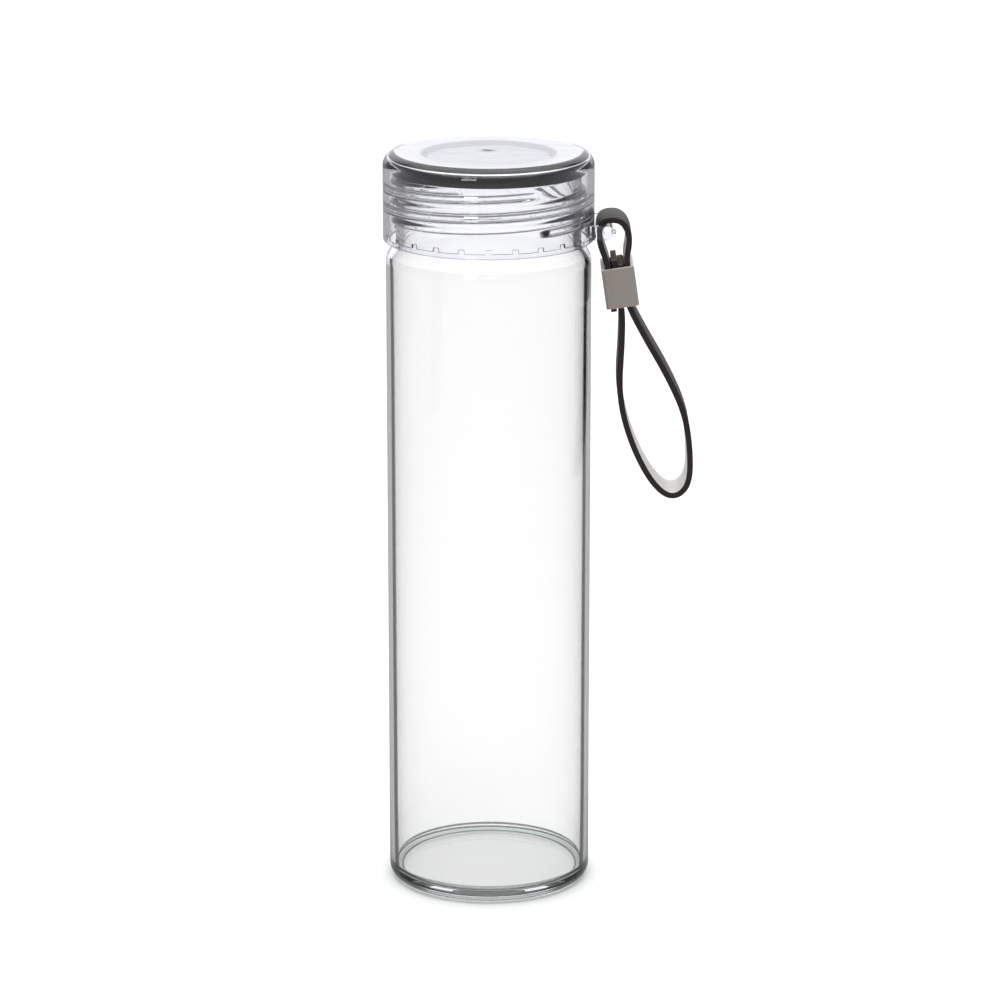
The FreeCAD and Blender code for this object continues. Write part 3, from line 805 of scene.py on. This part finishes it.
class BOTTLE_OT_straps(bpy.types.Operator):
    """Sweep the hanger, the wrist loop and the loop's two gripped ends along their routes"""
    bl_idname = "bottle.straps"
    bl_label = "Strap Strips"

    def execute(self, context):
        sizes = context.scene.strap_sizes
        finishes = self.finishes(context.scene.finish_colours)
        hanger = self.band("hanger_strap_band", smooth_line(HANGER_ROUTE), sizes, finishes)
        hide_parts("hanger_strap")
        line = smooth_line(WRIST_ROUTE)[::-1]  # turned round, so that its pale side is inside too
        depth = self.depth_in_sleeve(line, sizes)
        grip = np.flatnonzero(depth < -sizes.grip_depth)
        first, last = grip[0], grip[-1]
        short_end = self.band("wrist_strap_short_end", line[:first + 1], sizes, finishes)
        tall_end = self.band("wrist_strap_tall_end", line[last:], sizes, finishes)
        loop = self.band("wrist_strap_loop", line[first:last + 1], sizes, finishes)
        for piece in (loop, tall_end, short_end):
            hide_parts("wrist_strap")
        return {"FINISHED"}

    def depth_in_sleeve(self, line, sizes):
        """Height of each point along the ferrule's own leaning axis, from its middle."""
        upright = np.array([math.sin(sizes.sleeve_tilt), 0, math.cos(sizes.sleeve_tilt)])
        return (line - np.array(sizes.sleeve_centre)) @ upright

    def finishes(self, colours):
        return strap_coating(colours), strap_inner_face(colours), strap_cut_end(colours)

    def band(self, name, line, sizes, finishes):
        """A flat strip along a line, black outside, pale inside, with fibres at its ends."""
        ahead = np.gradient(line, axis=0)
        ahead /= np.linalg.norm(ahead, axis=1)[:, None]
        outward = np.stack([-ahead[:, 2], np.zeros(len(line)), ahead[:, 0]], axis=1)
        half_width, half_thick, corner = sizes.width / 2, sizes.thick / 2, sizes.edge_radius
        section = []
        for side, face, first in ((1, 1, 0), (-1, 1, 90), (-1, -1, 180), (1, -1, 270)):
            centre = (side * (half_width - corner), face * (half_thick - corner))
            section += arc(centre, corner, first, first + 90, 4)
        rings = [[tuple(point + outward[index] * rise + (0, across, 0)) for across, rise in section]
                 for index, point in enumerate(line)]
        count = len(section)
        faces, kinds = [], []
        for ring in range(len(line) - 1):
            for step in range(count):
                other = (step + 1) % count
                low, high = ring * count, (ring + 1) * count
                faces.append((low + step, low + other, high + other, high + step))
                inner_side = section[step][1] < -half_thick + 0.01 * MM
                kinds.append(1 if inner_side and section[other][1] < -half_thick + 0.01 * MM else 0)
        top = (len(line) - 1) * count
        faces += [tuple(range(count)), tuple(range(top, top + count))]
        kinds += [2, 2]
        mesh = bpy.data.meshes.new(name)
        mesh.from_pydata([point for ring in rings for point in ring], [], faces)
        piece = bpy.data.objects.new(name, mesh)
        bpy.context.collection.objects.link(piece)
        wear(piece, *finishes)
        for face, kind in zip(mesh.polygons, kinds):
            face.material_index = kind
        self.map_along(mesh, line, section)
        active(piece)
        bpy.ops.object.mode_set(mode="EDIT")
        bpy.ops.mesh.select_all(action="SELECT")
        bpy.ops.mesh.normals_make_consistent(inside=False)
        bpy.ops.object.mode_set(mode="OBJECT")
        smooth(piece, 40)
        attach(piece, "strap")
        return piece

    def map_along(self, mesh, line, section):
        """A UV map in metres: along the strip, and across it."""
        run = np.concatenate([[0], np.cumsum(np.linalg.norm(np.diff(line, axis=0), axis=1))])
        uv = mesh.uv_layers.new(name="along")
        count = len(section)
        for corner in mesh.loops:
            ring, step = divmod(corner.vertex_index, count)
            uv.data[corner.index].uv = (run[ring], section[step][0])


def smooth_line(route):
    """The points of a smooth curve through a route's runs, in metres."""
    data = bpy.data.curves.new("strip_route", "CURVE")
    data.dimensions = "3D"
    data.resolution_u = 12
    spline = data.splines.new("NURBS")
    spline.points.add(len(route) - 1)
    for point, (across, up) in zip(spline.points, route):
        point.co = (across * MM, 0, up * MM, 1)
    spline.order_u = 3
    spline.use_endpoint_u = True
    curve = bpy.data.objects.new("strip_route", data)
    bpy.context.collection.objects.link(curve)
    bpy.context.view_layer.update()
    mesh = bpy.data.meshes.new_from_object(curve)
    points = np.array([tuple(vertex.co) for vertex in mesh.vertices])
    bpy.data.meshes.remove(mesh)
    bpy.data.objects.remove(curve)
    return points


# ---------------------------------------------------------------- stage
class BOTTLE_OT_stage(bpy.types.Operator):
    """Lay the floor and set the light and the camera"""
    bl_idname = "bottle.stage"
    bl_label = "Stage"

    def execute(self, context):
        self.floor()
        self.sky(context.scene)
        self.lamps()
        self.camera(context.scene)
        context.scene.view_settings.view_transform = "Standard"
        return {"FINISHED"}

    def floor(self):
        deselect()
        bpy.ops.mesh.primitive_circle_add(vertices=96, radius=12, fill_type="NGON",
                                         location=(0, 0, -0.2 * MM))
        floor = bpy.context.object
        floor.name = "studio_floor"
        material, tree, shader = new_material("white paper", Roughness=0.9)
        # Painted shade: where the floor is seen in a reflection its paper is drawn grey (#A2A2A2)
        # instead of near white, which dims what the glass and the seal mirror.
        ray = add_node(tree, "ShaderNodeLightPath")
        mirrored = add_node(tree, "ShaderNodeMath", [(0, ray.outputs["Glossy Depth"])],
                            operation="GREATER_THAN")
        mirrored.inputs[1].default_value = 0.5
        paper = add_node(tree, "ShaderNodeMix", [("Factor", mirrored.outputs[0])], data_type="RGBA")
        paper.inputs[6].default_value = linear("#F4F4F4")
        paper.inputs[7].default_value = linear("#A2A2A2")  # the sweep ends early, so it mirrors dim
        tree.links.new(paper.outputs[2], shader.inputs["Base Color"])
        wear(floor, material)

    def sky(self, scene):
        """Bright behind and overhead, dim at the sides and in front, as round a white sweep."""
        world = bpy.data.worlds.new("studio")
        scene.world = world
        world.use_nodes = True
        tree = world.node_tree
        place = add_node(tree, "ShaderNodeTexCoord")
        parts = add_node(tree, "ShaderNodeSeparateXYZ", [("Vector", place.outputs["Generated"])])
        angle = add_node(tree, "ShaderNodeMath", [(0, parts.outputs["X"]), (1, parts.outputs["Y"])],
                         operation="ARCTAN2")
        around = add_node(tree, "ShaderNodeMath", [(0, angle.outputs[0])], operation="ABSOLUTE")
        share = add_node(tree, "ShaderNodeMapRange", [("Value", around.outputs[0])])
        share.inputs["From Max"].default_value = math.pi
        bands = add_node(tree, "ShaderNodeValToRGB", [("Fac", share.outputs[0])])
        stops = bands.color_ramp.elements
        stops[0].position, stops[0].color = 0.0, (0.9, 0.9, 0.92, 1)
        stops[1].position, stops[1].color = 1.0, (0.2, 0.2, 0.2, 1)
        for degrees, level in ((27, 0.9), (33, 0.28), (80, 0.3), (92, 0.3)):
            stops.new(degrees / 180).color = (level, level, level * 1.05, 1)
        high = add_node(tree, "ShaderNodeMapRange", [("Value", parts.outputs["Z"])])
        high.interpolation_type = "SMOOTHSTEP"
        high.inputs["From Min"].default_value = 0.55
        high.inputs["From Max"].default_value = 0.8
        mix = add_node(tree, "ShaderNodeMix", [("Factor", high.outputs[0])], data_type="RGBA")
        tree.links.new(bands.outputs["Color"], mix.inputs[6])
        mix.inputs[7].default_value = (1.6, 1.6, 1.6, 1)
        tree.links.new(mix.outputs[2], tree.nodes["Background"].inputs["Color"])
        tree.nodes["Background"].inputs["Strength"].default_value = 1.22

    def lamps(self):
        for name, place, size, power in (
                ("overhead_softbox", (0.1, 0.1, 1.3), 1.0, 1.6),
                ("front_softbox", (-0.45, -1.1, 0.85), 0.35, 2.2)):
            data = bpy.data.lights.new(name, "AREA")
            data.shape = "SQUARE"
            data.size = size
            data.energy = power
            lamp = bpy.data.objects.new(name, data)
            bpy.context.collection.objects.link(lamp)
            lamp.location = place
            aim = Vector((0, 0, 0.12)) - Vector(place)
            lamp.rotation_euler = aim.to_track_quat("-Z", "Y").to_euler()

    def camera(self, scene):
        data = bpy.data.cameras.new("camera")
        data.lens = 152.6
        data.clip_end = 100
        camera = bpy.data.objects.new("camera", data)
        bpy.context.collection.objects.link(camera)
        camera.location = (0.0033, -1.211, 0.448)
        camera.rotation_euler = (math.radians(90 - 15.33), 0, 0)
        scene.camera = camera


class BOTTLE_PT_panel(bpy.types.Panel):
    """Lists the bottle's pieces and their sizes"""
    bl_idname = "BOTTLE_PT_panel"
    bl_label = "Glass Water Bottle"
    bl_space_type = "VIEW_3D"
    bl_region_type = "UI"
    bl_category = "Bottle"

    def draw(self, context):
        for operator in OPERATORS:
            self.layout.operator(operator.bl_idname)
        for group in ("bottle_sizes", "cap_sizes", "strap_sizes", "finish_colours"):
            settings = getattr(context.scene, group)
            for name in settings.__annotations__:
                self.layout.prop(settings, name)


GROUPS = {
    "bottle_sizes": BottleSizes,
    "cap_sizes": CapSizes,
    "strap_sizes": StrapSizes,
    "finish_colours": FinishColours,
}
OPERATORS = (
    BOTTLE_OT_glass_bottle, BOTTLE_OT_screw_cap, BOTTLE_OT_liner, BOTTLE_OT_seal, BOTTLE_OT_ferrule,
    BOTTLE_OT_straps, BOTTLE_OT_stage,
)


def register():
    for group in (*GROUPS.values(), *OPERATORS, BOTTLE_PT_panel):
        bpy.utils.register_class(group)
    for name, group in GROUPS.items():
        setattr(bpy.types.Scene, name, PointerProperty(type=group))


def unregister():
    for name in GROUPS:
        delattr(bpy.types.Scene, name)
    for group in (BOTTLE_PT_panel, *reversed(OPERATORS), *reversed(GROUPS.values())):
        bpy.utils.unregister_class(group)


def main():
    register()
    bpy.ops.bottle.glass_bottle()
    bpy.ops.bottle.screw_cap()
    bpy.ops.bottle.liner()
    bpy.ops.bottle.seal()
    bpy.ops.bottle.ferrule()
    bpy.ops.bottle.straps()
    bpy.ops.bottle.stage()


if __name__ == "__main__":
    main()
